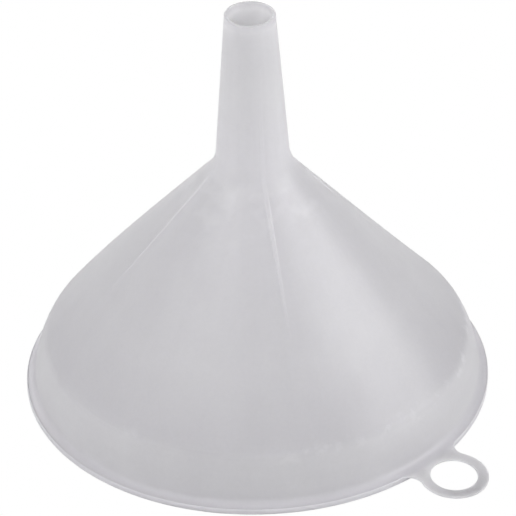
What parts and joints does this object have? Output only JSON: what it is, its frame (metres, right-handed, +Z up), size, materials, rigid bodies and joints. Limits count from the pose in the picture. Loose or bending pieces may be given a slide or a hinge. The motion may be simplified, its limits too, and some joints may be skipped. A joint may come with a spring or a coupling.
{
  "type": "kitchen funnel",
  "caption": "Translucent plastic kitchen funnel with a long tapered spout, straight cone, rounded skirt, rim flange, vent ribs and a flat hanging eye on the rim.",
  "frame": {"origin": "centre of the mouth, on the funnel's axis, at the plane the rim stands on", "axes": "+Z up along the funnel's axis, from the mouth to the spout tip; the hanging eye lies between +X and -Y, 44 degrees from +X"},
  "size_m": [0.15, 0.15, 0.1362],
  "materials": {
    "polypropylene": "satin, milky translucent, natural polypropylene"
  },
  "bodies": {
    "root": {"spout_tube": "polypropylene", "neck": "polypropylene", "cone_body": "polypropylene", "skirt": "polypropylene", "rim_flange": "polypropylene", "hanging_tab": "polypropylene", "vent_rib_1": "polypropylene", "vent_rib_2": "polypropylene", "vent_rib_3": "polypropylene", "vent_rib_4": "polypropylene"}
  },
  "joints": []
}
